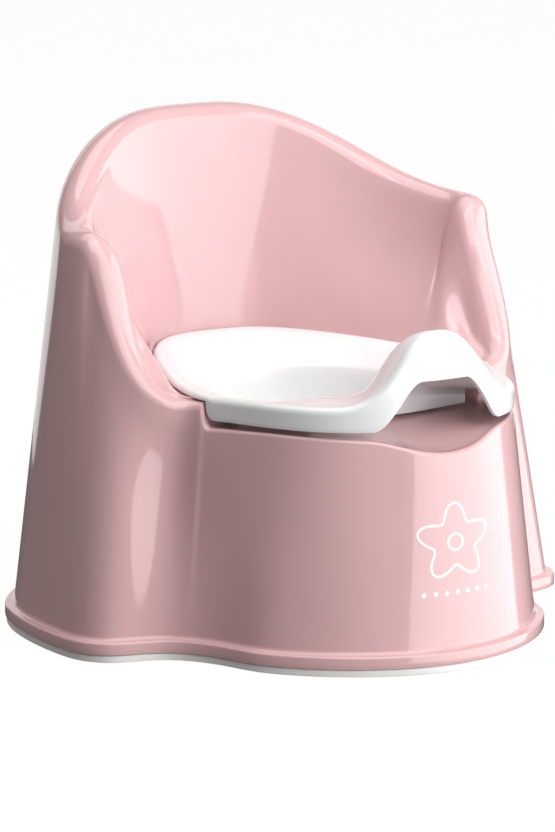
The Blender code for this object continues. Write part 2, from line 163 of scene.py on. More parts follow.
# Bowl wall: share of the mouth outline, height
BOWL_PROFILE = (
    (0.975, 152.0), (0.95, 138.0), (0.90, 106.0), (0.80, 82.0),
    (0.58, 66.5), (0.27, 62.4),
)
BOWL_BOTTOM_Z = 62.0
SKIRT_STATION = 12       # the front skirt reaches from here to its mirror image
SKIRT_END = 0.6          # length along the outline over which the skirt's end rises
SKIRT_Y = -108.5         # the skirt's face at X = 0
SKIRT_BEND = 0.0021      # the face moves back by this times x squared
SKIRT_WALL = 2.3
SKIRT_BOTTOM = 150.8
RIM_SPLIT = 0.6          # share of the dish at which its rows split away from the skirt
SPLIT_GAP = 0.05         # and the gap that keeps those rows apart
SAME_COLUMN = 0.1        # columns closer than this, in mm, are taken as one

# Base strip
STRIP_INSET = 1.0
STRIP_WIDTH = 5.5
STRIP_TOP = 4.7
STRIP_ROUND = 0.8        # rounding of the outer lower edge
STRIP_ROUND_MIDDLE = (0.25, 0.2)     # its middle: in from the strip's face, and height
STRIP_EASE = 0.4         # bevel of the other three edges


def smooth_step(value):
    """0 below 0, 1 above 1, smooth between."""
    t = np.clip(value, 0.0, 1.0)
    return t * t * (3.0 - 2.0 * t)


def corner_step(value):
    """0 below 0, 1 above 1, steep at first and rounded at the end."""
    t = np.clip(value, 0.0, 1.0)
    return (1.0 - (1.0 - t) ** CORNER_POWER) ** (1.0 / CORNER_POWER)


def full_loop(points):
    """Half-loop (x, y, ...) stations to the full closed loop, mirrored about X = 0."""
    half = np.array(points, dtype=float)
    other = half[-2:0:-1].copy()
    other[:, 0] *= -1.0
    return np.vstack([half, other])


def full_values(values):
    """The same for plain values, which keep their sign."""
    half = np.array(values, dtype=float)
    return np.concatenate([half, half[-2:0:-1]])


def loop_knots(outline):
    """Arc length along a closed outline, at each station and back at the start."""
    closed = np.vstack([outline, outline[:1]])
    steps = np.linalg.norm(np.diff(closed, axis=0), axis=1)
    return np.concatenate([[0.0], np.cumsum(steps)])


def column_places(knots, span_columns):
    """Spline parameter of each mesh column, with its own count for each span."""
    counts = list(span_columns) + list(span_columns)[::-1]
    places = []
    for start, end, count in zip(knots[:-1], knots[1:], counts):
        places.extend(start + (end - start) * k / count for k in range(count))
    return np.array(places)


def closed_spline(knots, values, places):
    """Smooth closed cubic through values at knots: its points and its derivatives."""
    values = np.array(values, dtype=float)
    if values.ndim == 1:
        values = values[:, None]
    count = len(values)
    gaps = np.diff(knots)
    matrix = np.zeros((count, count))
    right = np.zeros_like(values)
    for i in range(count):
        before = gaps[i - 1]
        after = gaps[i]
        matrix[i, i - 1] += before
        matrix[i, i] += 2.0 * (before + after)
        matrix[i, (i + 1) % count] += after
        rise = (values[(i + 1) % count] - values[i]) / after
        right[i] = 6.0 * (rise - (values[i] - values[i - 1]) / before)
    bends = np.linalg.solve(matrix, right)
    spans = np.clip(np.searchsorted(knots, places, side="right") - 1, 0, count - 1)
    following = (spans + 1) % count
    gap = gaps[spans][:, None]
    along = (places - knots[spans])[:, None]
    back = gap - along
    points = (bends[spans] * back ** 3 + bends[following] * along ** 3) / (6.0 * gap)
    points += (values[spans] / gap - bends[spans] * gap / 6.0) * back
    points += (values[following] / gap - bends[following] * gap / 6.0) * along
    slopes = (bends[following] * along ** 2 - bends[spans] * back ** 2) / (2.0 * gap)
    slopes += (values[following] - values[spans]) / gap
    slopes -= gap * (bends[following] - bends[spans]) / 6.0
    return points, slopes


def outward(slopes):
    """Outward unit normals in plan of a loop that runs from the back towards +X."""
    normals = np.column_stack([-slopes[:, 1], slopes[:, 0]])
    return normals / np.linalg.norm(normals, axis=1)[:, None]


def lift(plan, height):
    """Plan points with a height each."""
    return np.column_stack([plan, np.broadcast_to(height, len(plan))])


def edge_height(plan):
    """Height of the potty's edge line, with the splash guard's wave at the front."""
    front = smooth_step((GUARD_START_Y - plan[:, 1]) / GUARD_START_RUN)
    wave = np.exp(-(np.abs(plan[:, 0]) / GUARD_WIDTH) ** 3)
    rise = EDGE_RISE * np.maximum(plan[:, 1] - EDGE_RISE_Y, 0.0)
    return EDGE_Z + rise + GUARD_RISE * wave * front


def grid_faces(row_count, column_count):
    """Quads between neighbouring rows of a closed loft, facing its visible side."""
    faces = []
    for row in range(row_count):
        near = row * column_count
        far = near + column_count
        for column in range(column_count):
            side = (column + 1) % column_count
            faces.append((near + column, far + column, far + side, near + side))
    return faces


# Finished surfaces
FINE = 5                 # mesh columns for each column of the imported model
SHARP_ANGLE = 40.0       # degrees, edges steeper than this stay crisp
LIP = 0.5                # rounding of a moulded lower edge
LIP_MIDDLE = 0.3         # share of it at the middle of the rounding
RIM_LEAN = 0.45          # forward lean of the rolled rim on its steepest fall
RIM_LEAN_REACH = 14.0    # the lean spreads this far along the rim, in mm
INNER_TANGENT = 0.45     # how far the rim's curve is carried into the inner wall
LOBE_EDGE_SHRINK = 1.6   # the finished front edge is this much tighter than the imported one

# A wall's hidden side is set off from guide rows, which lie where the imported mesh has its
# rows: shares of the way across each surface
GUIDE_FILLET = (0.4, 0.2)    # share of the foot's fillet, and height above the flange
GUIDE_WALL = (0.33, 0.67)
GUIDE_RIM = 6                # rows over the rolled rim
GUIDE_INNER = (0.33, 0.67, 0.93)
GUIDE_LEDGE = (0.5, 1.0)
GUIDE_ROUND = (30.0, 60.0, 90.0)     # degrees round the potty's edge
GUIDE_DISH = (0.33, 0.67, 1.0)       # from the crest to the skirt
GUIDE_SKIRT = (0.3, 0.7, 1.0)        # across the skirt's top
GUIDE_MOUTH = (0.5, 1.0)             # from the skirt to the mouth
OVER_SKIRT = 8               # guide row over the skirt's outer face

# Rows of the finished surfaces
FINE_WALL = np.arange(1, 12) / 12.0
FINE_RIM = 25
FINE_INNER = np.arange(1, 16) / 16.0
FINE_LEDGE = np.arange(1, 6) / 5.0
FINE_FACE = np.arange(5) / 4.0
FINE_ROUND = np.arange(1, 11) * 9.0
FINE_DISH = np.arange(1, 17) / 17.0
FINE_BOWL = 5            # rows for each row of the bowl's profile
BOWL_LEAD_IN = 0.9       # share of the dish that gives the bowl's first row its direction
SPLIT_STEPS = 201        # samples across the dish in the search for the skirt's faces
TINY = 1e-6              # keeps a division by a gap safe


def fine_places(knots, spans):
    """Spline parameter of each column of a finished surface."""
    return column_places(knots, tuple(FINE * count for count in spans))


def shell_outline():
    """The flange's edge: its knots, column places, points and outward normals."""
    flange_edge = full_loop([station[0] for station in SHELL_STATIONS])
    knots = loop_knots(flange_edge)
    places = fine_places(knots, SHELL_SPAN_COLUMNS)
    flange, slopes = closed_spline(knots, flange_edge, places)
    return knots, places, flange, outward(slopes)


def rim_lean(crest, knots, places):
    """Direction over the rim's crest: up, leaning a little forward where the crest falls."""
    along = np.roll(crest, -1, axis=0) - np.roll(crest, 1, axis=0)
    fall = -along[:, 2] / np.linalg.norm(along, axis=1)
    flat = along[:, :2] / np.linalg.norm(along[:, :2], axis=1)[:, None]
    lean = flat * (RIM_LEAN * fall)[:, None]
    gap = np.abs(places[:, None] - places[None, :])
    gap = np.minimum(gap, knots[-1] - gap)
    weight = np.exp(-(gap / RIM_LEAN_REACH) ** 2)
    weight *= np.gradient(np.concatenate([places, [knots[-1]]]))[:-1]
    lean = weight @ lean / weight.sum(axis=1)[:, None]
    return np.column_stack([lean, np.sqrt(1.0 - (lean ** 2).sum(axis=1))])


def foot_profile(fine):
    """Points (distance in from the flange edge, height) of the foot, from the bottom up."""
    top_centre = FLANGE_TOP - FLANGE_ROUND
    wall_foot = (FLANGE_WIDTH + FOOT_FILLET * FOOT_LEAN, FLANGE_TOP + FOOT_FILLET)
    if not fine:
        return [
            (0.0, FLANGE_BOTTOM),
            (0.0, top_centre),
            (FLANGE_ROUND, FLANGE_TOP),
            (FLANGE_WIDTH - FOOT_FILLET * GUIDE_FILLET[0], FLANGE_TOP + GUIDE_FILLET[1]),
            wall_foot,
        ]
    points = [
        (LIP, FLANGE_BOTTOM),
        (LIP * LIP_MIDDLE, FLANGE_BOTTOM + LIP * LIP_MIDDLE),
        (0.0, FLANGE_BOTTOM + LIP),
        (0.0, (FLANGE_BOTTOM + top_centre) / 2.0),
    ]
    for degrees in (0.0, 18.0, 36.0, 54.0, 72.0, 90.0):
        turn = math.radians(degrees)
        inset = FLANGE_ROUND * (1.0 - math.cos(turn))
        points.append((inset, top_centre + FLANGE_ROUND * math.sin(turn)))
    for degrees in (0.0, 15.0, 30.0, 45.0, 60.0, 75.0, 90.0):
        turn = math.radians(degrees)
        inset = wall_foot[0] - FOOT_FILLET + FOOT_FILLET * math.sin(turn)
        points.append((inset, FLANGE_TOP + FOOT_FILLET * (1.0 - math.cos(turn))))
    return points


def shell_rows(fine):
    """Rows of the chair's surface, from the foot flange up and over to the seat opening.

    Fine rows make the visible side, and the others are guide rows for the hidden side.
    """
    knots, places, flange, out = shell_outline()
    crest, crest_slopes = closed_spline(
        knots, full_loop([station[1] for station in SHELL_STATIONS]), places)
    rim_out = outward(crest_slopes[:, :2])
    radius = closed_spline(
        knots, full_values([station[2] for station in SHELL_STATIONS]), places)[0]
    turn = closed_spline(
        knots, full_values([station[3] for station in SHELL_STATIONS]), places)[0][:, 0]
    seat = closed_spline(
        knots, full_loop([station[4] for station in SHELL_STATIONS]), places)[0]
    lobe = corner_step((LOBE_STEP_Y - crest[:, 1]) / LOBE_STEP_RUN)
    over = rim_lean(crest, knots, places)
    crest[:, 2] -= LOBE_DROP * lobe

    rows = [lift(flange - out * inset, height) for inset, height in foot_profile(fine)]
    if fine:
        tighter = LOBE_EDGE_SHRINK * lobe[:, None]
        radius = radius - tighter
        crest[:, :2] += rim_out * tighter
    aside = lift(rim_out, 0.0)
    centre = crest - over * radius

    def rim_point(degrees):
        angle = np.radians(degrees)[:, None]
        return centre + (aside * np.cos(angle) + over * np.sin(angle)) * radius

    # Outer wall, and the rim rolled over its top
    start = np.full(len(places), WALL_DRAFT)
    wall_foot = rows[-1]
    wall_top = rim_point(start)
    waist = knots[WAIST_STATION] + WAIST_OFFSET
    gap = np.minimum(np.abs(places - waist), np.abs(places - (knots[-1] - waist)))
    hollow = lift(out * (WAIST_DEPTH * np.exp(-(gap / WAIST_REACH) ** 2))[:, None], 0.0)
    for share in FINE_WALL if fine else GUIDE_WALL:
        deep = share ** 2 * (1.0 - share) * WAIST_PEAK
        rows.append(wall_foot + (wall_top - wall_foot) * share - hollow * deep)
    for share in np.linspace(0.0, 1.0, FINE_RIM if fine else GUIDE_RIM):
        rows.append(rim_point(start + (turn - start) * share))

    # Inner wall, down to the seat edge
    ledge_height = edge_height(seat) - SEAT_DROP
    shelf_height = crest[:, 2] + SHELF_LIFT
    seat_height = ledge_height + (shelf_height - ledge_height) * lobe
    seat_edge = np.column_stack([seat, seat_height])
    rim_end = rows[-1]
    end = np.radians(turn)[:, None]
    leave = over * np.cos(end) - aside * np.sin(end)
    span = seat_edge - rim_end
    reach_in = np.linalg.norm(span, axis=1)[:, None] * INNER_TANGENT
    for share in FINE_INNER if fine else GUIDE_INNER:
        left = 1.0 - share
        bow = 3.0 * share * left ** 2 * (leave * reach_in - span / 3.0)
        rows.append(rim_end + span * share + bow)
    rows.append(seat_edge)

    # Seat ledge, in to the opening
    toward = seat - np.array(OPENING_CENTRE)
    angle = np.arctan2(toward[:, 1], toward[:, 0])
    reach = np.where(np.sin(angle) > 0.0, OPENING_BACK_Y - OPENING_CENTRE[1], OPENING_HALF[1])
    polar = 1.0 / np.hypot(np.cos(angle) / OPENING_HALF[0], np.sin(angle) / reach)
    ray = np.column_stack([np.cos(angle), np.sin(angle)])
    opening = np.array(OPENING_CENTRE) + ray * polar[:, None]
    opening_height = seat_height - SEAT_LEDGE_FALL
    opening_height = opening_height + (LOBE_SHELF_Z - opening_height) * lobe
    edge = np.column_stack([opening, opening_height])
    for share in FINE_LEDGE if fine else GUIDE_LEDGE:
        rows.append(seat_edge + (edge - seat_edge) * share)
    return rows


def wall_offsets(vertices, faces, thickness):
    """The visible points moved to the hidden side of a wall of even thickness."""
    mesh = bmesh.new()
    made = [mesh.verts.new(point) for point in vertices]
    for face in faces:
        mesh.faces.new([made[index] for index in face])
    mesh.normal_update()
    moved = [v.co - v.normal * thickness * v.calc_shell_factor() for v in made]
    mesh.free()
    return np.array([tuple(point) for point in moved])


def capped_faces(row_count, columns, capped):
    """The loft's faces, and with a cap the fan from its last row to one more point."""
    faces = grid_faces(row_count - 1, columns)
    last = (row_count - 1) * columns
    if capped:
        tip = row_count * columns
        for column in range(columns):
            faces.append((last + column, tip, last + (column + 1) % columns))
    return faces


def new_object(name, vertices, faces, finish):
    """A smooth-shaded mesh object from points in millimetres."""
    mesh = bpy.data.meshes.new(name)
    shifted = (np.array(vertices) + (0.0, Y_SHIFT, 0.0)) * MM
    mesh.from_pydata([tuple(point) for point in shifted], [], faces)
    mesh.materials.append(finish)
    mesh.shade_smooth()
    mesh.set_sharp_from_angle(angle=math.radians(SHARP_ANGLE))
    made = bpy.data.objects.new(name, mesh)
    bpy.context.scene.collection.objects.link(made)
    return made


def make_wall(name, rows, guide_rows, finish, thickness, pole=None, reshape=None):
    """A moulded wall: the visible rows, and a hidden side set off from the guide rows."""
    columns = len(rows[0])
    visible = np.vstack(rows)
    guide = np.vstack(guide_rows)
    if pole is not None:
        visible = np.vstack([visible, [pole]])
        guide = np.vstack([guide, [pole]])
    faces = capped_faces(len(rows), columns, pole is not None)
    guide_faces = capped_faces(len(guide_rows), columns, pole is not None)
    hidden = wall_offsets(guide, guide_faces, thickness)
    if reshape is not None:
        reshape(hidden, columns)
    count = len(visible)
    faces += [tuple(index + count for index in face[::-1]) for face in guide_faces]
    # Join the two sides along the first row and, without a pole, along the last
    last = (len(rows) - 1) * columns
    guide_last = (len(guide_rows) - 1) * columns
    for column in range(columns):
        side = (column + 1) % columns
        faces.append((column, side, side + count, column + count))
        if pole is None:
            faces.append((last + side, last + column,
                          guide_last + column + count, guide_last + side + count))
    return new_object(name, np.vstack([visible, hidden]), faces, finish)


def potty_columns():
    """The potty's edge line, its knots, the column places and which columns hold the skirt."""
    edge_line = full_loop([station[0] for station in POTTY_STATIONS])
    knots = loop_knots(edge_line)
    places = fine_places(knots, POTTY_SPAN_COLUMNS)
    skirt_end = knots[SKIRT_STATION] - SKIRT_END
    places = np.sort(np.append(places, (skirt_end, knots[-1] - skirt_end)))
    first = skirt_end + SAME_COLUMN
    in_skirt = (places > first) & (places < knots[-1] - first)
    return edge_line, knots, places, in_skirt


def dish_split(curve, in_skirt):
    """Where each column of the dish crosses the skirt's outer and inner face."""
    steps = np.linspace(0.0, 1.0, SPLIT_STEPS)
    points = np.array([curve(np.full(len(in_skirt), step)) for step in steps])
    past = points[:, :, 1] - SKIRT_Y - SKIRT_BEND * points[:, :, 0] ** 2
    splits = []
    for depth, spare in ((0.0, RIM_SPLIT), (SKIRT_WALL, RIM_SPLIT + SPLIT_GAP)):
        place = np.full(len(in_skirt), spare)
        for column in np.flatnonzero(in_skirt):
            place[column] = np.interp(depth, past[:, column], steps)
        splits.append(place)
    return splits


def knot_gap(near, far):
    """Parameter step between two rows: the square root of each column's distance."""
    return np.linalg.norm(far - near, axis=1)[:, None] ** 0.5 + TINY


def smooth_rows(rows, before, steps):
    """Rows on a smooth curve through the given rows; `before` leads into the first."""
    path = [before] + list(rows)
    path.append(2.0 * rows[-1] - rows[-2])
    made = []
    for a, b, c, d in zip(path[:-3], path[1:-2], path[2:-1], path[3:]):
        gap_ab = knot_gap(a, b)
        gap_bc = knot_gap(b, c)
        gap_cd = knot_gap(c, d)
        slope_b = ((b - a) / gap_ab - (c - a) / (gap_ab + gap_bc) + (c - b) / gap_bc) * gap_bc
        slope_c = ((c - b) / gap_bc - (d - b) / (gap_bc + gap_cd) + (d - c) / gap_cd) * gap_bc
        for t in np.arange(1, steps + 1) / steps:
            h00 = 2 * t ** 3 - 3 * t ** 2 + 1
            h10 = t ** 3 - 2 * t ** 2 + t
            h01 = -2 * t ** 3 + 3 * t ** 2
            h11 = t ** 3 - t ** 2
            made.append(b * h00 + slope_b * h10 + c * h01 + slope_c * h11)
    return made


def potty_rows(fine):
    """Rows of the potty's surface, from the outer lower edge in to the bowl.

    Fine rows make the visible side, and the others are guide rows for the hidden side.
    """
    edge_line, knots, places, in_skirt = potty_columns()
    edge, slopes = closed_spline(knots, edge_line, places)
    out = outward(slopes)
    mouth = closed_spline(
        knots, full_loop([station[1] for station in POTTY_STATIONS]), places)[0]

    apron = smooth_step((APRON_STEP_Y - edge[:, 1]) / APRON_STEP_RUN)
    top = edge_height(edge)
    guard = (top - EDGE_Z) / GUARD_RISE * apron
    arch = ARCH_RISE * smooth_step((ARCH_HALF - np.abs(edge[:, 0])) / ARCH_RAMP) * apron
    rim_bottom = top - EDGE_ROUND - EDGE_SKIN
    apron_drop = corner_step((APRON_STEP_Y - edge[:, 1]) / APRON_STEP_RUN)
    bottom = rim_bottom + (APRON_Z - rim_bottom) * apron_drop + arch
    round_size = EDGE_ROUND + (APRON_ROUND - EDGE_ROUND) * apron + GUARD_ROUND * guard

    def outer_point(height, inset=0.0):
        lean = GUARD_LEAN * np.maximum(height - EDGE_Z, 0.0) * apron + inset
        return np.column_stack([edge - out * lean[:, None], height])

    # Outer face and rounded edge
    shoulder = top - round_size
    if fine:
        lip_middle = LIP * LIP_MIDDLE
        rows = [outer_point(bottom, LIP), outer_point(bottom + lip_middle, lip_middle)]
        low = bottom + np.minimum(LIP, (shoulder - bottom) * 0.5)
        rows += [outer_point(low + (shoulder - low) * share) for share in FINE_FACE]
    else:
        rows = [outer_point(bottom), outer_point((bottom + shoulder) / 2.0), outer_point(shoulder)]
    face_top = rows[-1]
    for turn in np.radians(FINE_ROUND if fine else GUIDE_ROUND):
        plan = face_top[:, :2] - out * (round_size * (1.0 - math.cos(turn)))[:, None]
        rows.append(np.column_stack([plan, shoulder + round_size * math.sin(turn)]))

    # Dish, from the crest in to the bowl's mouth
    crest = rows[-1]
    climb = smooth_step((MOUTH_RISE_Y - mouth[:, 1]) / MOUTH_RISE_RUN)
    mouth_edge = lift(mouth, MOUTH_Z + MOUTH_RISE * climb)
    inward = mouth_edge[:, :2] - crest[:, :2]
    leave = crest.copy()
    leave[:, :2] += inward * LEAVE_SHARE
    leave[:, 2] -= LEAVE_DROP
    arrive = mouth_edge.copy()
    arrive[:, :2] -= inward * (ARRIVE_SHARE - ARRIVE_GUARD_SHARE * guard)[:, None]
    arrive[:, 2] += ARRIVE_RISE + ARRIVE_GUARD_RISE * guard

    def dish(place):
        """A row of the dish, at a share of the way in for each column."""
        t = place[:, None]
        s = 1.0 - t
        near = s ** 3 * crest + 3.0 * s * s * t * leave
        return near + 3.0 * s * t * t * arrive + t ** 3 * mouth_edge

    centre = np.array((0.0, BOWL_CENTRE_Y))
    bowl = [lift(centre + (mouth - centre) * share, height) for share, height in BOWL_PROFILE]
    if fine:
        even = np.ones(len(places))
        rows += [dish(even * share) for share in FINE_DISH]
        rows += smooth_rows([mouth_edge] + bowl, dish(even * BOWL_LEAD_IN), FINE_BOWL)
        return rows
    front, back = dish_split(dish, in_skirt)
    rows += [dish(front * share) for share in GUIDE_DISH]
    rows += [dish(front + (back - front) * share) for share in GUIDE_SKIRT]
    rows += [dish(back + (1.0 - back) * share) for share in GUIDE_MOUTH]
    return rows + bowl


def drop_skirt(hidden, columns):
    """Pull the hidden side down between two guide rows into the front skirt."""
    in_skirt = potty_columns()[3]
    for row, above in ((OVER_SKIRT + 1, OVER_SKIRT), (OVER_SKIRT + 2, OVER_SKIRT + 3)):
        for column in np.flatnonzero(in_skirt):
            hidden[row * columns + column, :2] = hidden[above * columns + column, :2]
            hidden[row * columns + column, 2] = SKIRT_BOTTOM


def make_strip(finish):
    """The soft strip under the flange, with a rounded outer edge."""
    places, flange, out = shell_outline()[1:]
    inner = STRIP_INSET + STRIP_WIDTH
    points = [
        (STRIP_INSET + STRIP_ROUND, 0.0),
        (STRIP_INSET + STRIP_ROUND_MIDDLE[0], STRIP_ROUND_MIDDLE[1]),
        (STRIP_INSET, STRIP_ROUND),
        (STRIP_INSET, STRIP_TOP - STRIP_EASE),
        (STRIP_INSET + STRIP_EASE, STRIP_TOP),
        (inner - STRIP_EASE, STRIP_TOP),
        (inner, STRIP_TOP - STRIP_EASE),
        (inner, STRIP_EASE),
        (inner - STRIP_EASE, 0.0),
    ]
    rows = [lift(flange - out * inset, height) for inset, height in points]
    around = len(rows) * len(places)
    faces = [tuple(index % around for index in face)
             for face in grid_faces(len(rows), len(places))]
    return new_object("non_slip_base", np.vstack(rows), faces, finish)


# Printed motif on the front of the lobe, in millimetres
MOTIF_Z = 80.0
MOTIF_LINE = 1.5         # width of the printed line
MOTIF_PETALS = 5
MOTIF_SIZE = (19.5, 5.0)     # mean radius and petal depth
MOTIF_STRETCH = 1.12
MOTIF_EYE = 5.0
DOT_Z = 48.5
DOT_STEP = 8.0
DOT_COUNT = 7
DOT_RADIUS = 1.5
PRINT_LIFT = 0.10        # film thickness over the wall
PRINT_SINK = 0.05        # and how far it reaches into the wall
OUTLINE_POINTS = 240
DOT_POINTS = 24
AHEAD_Y = -400.0         # well in front of the chair


def full_turn(count):
    """Even angles once round, in radians."""
    return np.linspace(0.0, 2.0 * math.pi, count + 1)[:-1]


def motif_outline(mean, depth):
    """A closed petal outline in (x, z), wider than it is high."""
    turn = full_turn(OUTLINE_POINTS)
    reach = mean + depth * np.cos(MOTIF_PETALS * (turn - math.pi / 2.0))
    return np.column_stack([reach * np.cos(turn) * MOTIF_STRETCH, MOTIF_Z + reach * np.sin(turn)])


def line_band(outline):
    """Both edges of a printed line along a closed outline."""
    along = np.roll(outline, -1, axis=0) - np.roll(outline, 1, axis=0)
    across = np.column_stack([-along[:, 1], along[:, 0]])
    across /= np.linalg.norm(across, axis=1)[:, None]
    return outline + across * MOTIF_LINE / 2.0, outline - across * MOTIF_LINE / 2.0


def make_motif(wall, finish):
    """A plain flower and a row of dots, printed as a thin film on the lobe."""
    source = wall.data
    tree = BVHTree.FromPolygons([vertex.co for vertex in source.vertices],
                                [tuple(face.vertices) for face in source.polygons])

    def on_wall(point):
        start = Vector((point[0], AHEAD_Y, point[1])) * MM
        return tree.ray_cast(start, Vector((0.0, 1.0, 0.0)))[:2]

    vertices = []
    faces = []

    def add_film(points, film_faces, rim):
        """One patch of the film: its front, its back and the edge between them."""
        first = len(vertices)
        count = len(points)
        hits = [on_wall(point) for point in points]
        for rise in (PRINT_LIFT, -PRINT_SINK):
            vertices.extend(place + normal * rise * MM for place, normal in hits)
        for face in film_faces:
            faces.append(tuple(first + index for index in face))
            faces.append(tuple(first + count + index for index in face[::-1]))
        for a, b in rim:
            faces.append((first + b, first + a, first + count + a, first + count + b))

    for outline in (motif_outline(*MOTIF_SIZE), motif_outline(MOTIF_EYE, 0.0)):
        inner, outer = line_band(outline)
        count = len(outline)
        ring = [(k, (k + 1) % count) for k in range(count)]
        film = [(a, a + count, b + count, b) for a, b in ring]
        rim = [(b, a) for a, b in ring] + [(a + count, b + count) for a, b in ring]
        add_film(np.vstack([inner, outer]), film, rim)
    for k in range(DOT_COUNT):
        turn = full_turn(DOT_POINTS)
        middle = np.array(((k - (DOT_COUNT - 1) / 2.0) * DOT_STEP, DOT_Z))
        disc = middle + DOT_RADIUS * np.column_stack([np.cos(turn), np.sin(turn)])
        count = len(disc)
        ring = [(a, (a + 1) % count) for a in range(count)]
        film = [(a, b, count) for a, b in ring]
        add_film(np.vstack([disc, [middle]]), film, ring)

    mesh = bpy.data.meshes.new("front_motif")
    mesh.from_pydata([tuple(point) for point in vertices], [], faces)
    mesh.materials.append(finish)
    made = bpy.data.objects.new("front_motif", mesh)
    bpy.context.scene.collection.objects.link(made)
    return made


# Looks
PINK = (0.76, 0.505, 0.513)
WHITE = (0.87, 0.885, 0.885)
RUBBER = (0.93, 0.93, 0.92)
PRINT = (0.95, 0.93, 0.93)
PLASTIC_IOR = 1.55
COAT_ROUGHNESS = 0.03
# Pattern scales, in repeats per metre
MOTTLE_SCALE = 9.0
WAVE_SCALE = 14.0
HAZE_SCALE = 35.0
SCUFF_SCALE = 900.0
SCUFF_STRETCH = 0.08     # repeats up the wall, against those across it: long hairlines
SCUFF_ROUGHNESS = 0.10
WAVE_HEIGHT = 6.0        # of the slow waves of a moulded wall, times the grain's depth


def plastic(name, colour, roughness, grain_size, grain_depth, mottle=0.03, coat=0.0):
    """Moulded plastic: faint mottling, uneven gloss, hairline scuffs and a fine surface grain.

    The grain's size and depth are in millimetres.
    """
    made = bpy.data.materials.new(name)
    made.use_nodes = True
    nodes = made.node_tree.nodes
    links = made.node_tree.links
    shader = nodes["Principled BSDF"]
    shader.inputs["IOR"].default_value = PLASTIC_IOR
    shader.inputs["Coat Weight"].default_value = coat
    shader.inputs["Coat Roughness"].default_value = COAT_ROUGHNESS
    place = nodes.new("ShaderNodeTexCoord")

    def noise(scale, detail, source=None):
        texture = nodes.new("ShaderNodeTexNoise")
        texture.inputs["Scale"].default_value = scale
        texture.inputs["Detail"].default_value = detail
        links.new(source or place.outputs["Object"], texture.inputs["Vector"])
        return texture.outputs["Fac"]

    def remap(value, low, high, to_low, to_high):
        node = nodes.new("ShaderNodeMapRange")
        node.inputs["From Min"].default_value = low
        node.inputs["From Max"].default_value = high
        node.inputs["To Min"].default_value = to_low
        node.inputs["To Max"].default_value = to_high
        links.new(value, node.inputs["Value"])
        return node.outputs["Result"]

    def bump(height, depth):
        node = nodes.new("ShaderNodeBump")
        node.inputs["Strength"].default_value = 1.0
        node.inputs["Distance"].default_value = depth * MM
        links.new(height, node.inputs["Height"])
        return node

    # Colour
    tone = nodes.new("ShaderNodeMix")
    tone.data_type = "RGBA"
    tone.inputs["A"].default_value = (*[c * (1.0 - mottle) for c in colour], 1.0)
    tone.inputs["B"].default_value = (*[min(1.0, c * (1.0 + mottle)) for c in colour], 1.0)
    links.new(remap(noise(MOTTLE_SCALE, 3.0), 0.3, 0.7, 0.0, 1.0), tone.inputs["Factor"])
    links.new(tone.outputs["Result"], shader.inputs["Base Color"])

    # Gloss
    stretch = nodes.new("ShaderNodeMapping")
    stretch.inputs["Scale"].default_value = (1.0, 1.0, SCUFF_STRETCH)
    links.new(place.outputs["Object"], stretch.inputs["Vector"])
    hairlines = noise(SCUFF_SCALE, 2.0, stretch.outputs["Vector"])
    scuffs = remap(hairlines, 0.66, 0.75, 0.0, SCUFF_ROUGHNESS)
    haze = remap(noise(HAZE_SCALE, 4.0), 0.35, 0.7, roughness * 0.9, roughness * 1.2)
    total = nodes.new("ShaderNodeMath")
    links.new(haze, total.inputs[0])
    links.new(scuffs, total.inputs[1])
    links.new(total.outputs["Value"], shader.inputs["Roughness"])

    # Surface
    grain = bump(noise(1.0 / (grain_size * MM), 2.0), grain_depth)
    wave = bump(noise(WAVE_SCALE, 1.0), grain_depth * WAVE_HEIGHT)
    links.new(grain.outputs["Normal"], wave.inputs["Normal"])
    links.new(wave.outputs["Normal"], shader.inputs["Normal"])
    return made


# Studio, in metres
CAMERA_AZIMUTH = math.radians(-34.23)    # 0 is in front, and below 0 is on the -X side
CAMERA_ELEVATION = math.radians(10.8)
CAMERA_TARGET = Vector((202.8, 321.6 + Y_SHIFT, 59.9)) * MM
CAMERA_DISTANCE = 3.4112
CAMERA_LENS = 200.77         # focal length, in mm
SENSOR_WIDTH = 36.0
VIEW_LIMIT = 100.0
PICTURE_GAMMA = 0.88
FLOOR_HALF = 12.0
FLOOR_DROP = 0.0005          # keeps the floor clear of the strip's lower face
FLOOR_GREY = 0.03
FLOOR_GLOW = 0.97
FILL_COLOUR = (1.0, 0.95, 0.95, 1.0)
FILL_STRENGTH = 0.14
WHITE_LIGHT = (1.0, 1.0, 1.0, 1.0)
CENTRE = (0.0, 0.0, 0.15)    # what most lights face
KEY_HEIGHT = 0.40            # the key light stands level, at this height


def ring_place(azimuth, distance, height):
    """A place round the chair: azimuth 0 is in front and 90 on the +X side."""
    turn = math.radians(azimuth)
    return (math.sin(turn) * distance, -math.cos(turn) * distance, height)


def face_along(made, back):
    """Turn a camera or a light so that it looks against the direction back."""
    made.rotation_mode = "QUATERNION"
    made.rotation_quaternion = back.to_track_quat("Z", "Y")


def softbox(name, place, target, size, power, mirrored=True):
    """A large studio light that the camera doesn't see; glossy surfaces mirror it or not."""
    data = bpy.data.lights.new(name, "AREA")
    data.shape = "RECTANGLE"
    data.size, data.size_y = size
    data.energy = power
    made = bpy.data.objects.new(name, data)
    bpy.context.scene.collection.objects.link(made)
    made.location = place
    face_along(made, Vector(place) - Vector(target))
    made.visible_camera = False
    made.visible_glossy = mirrored


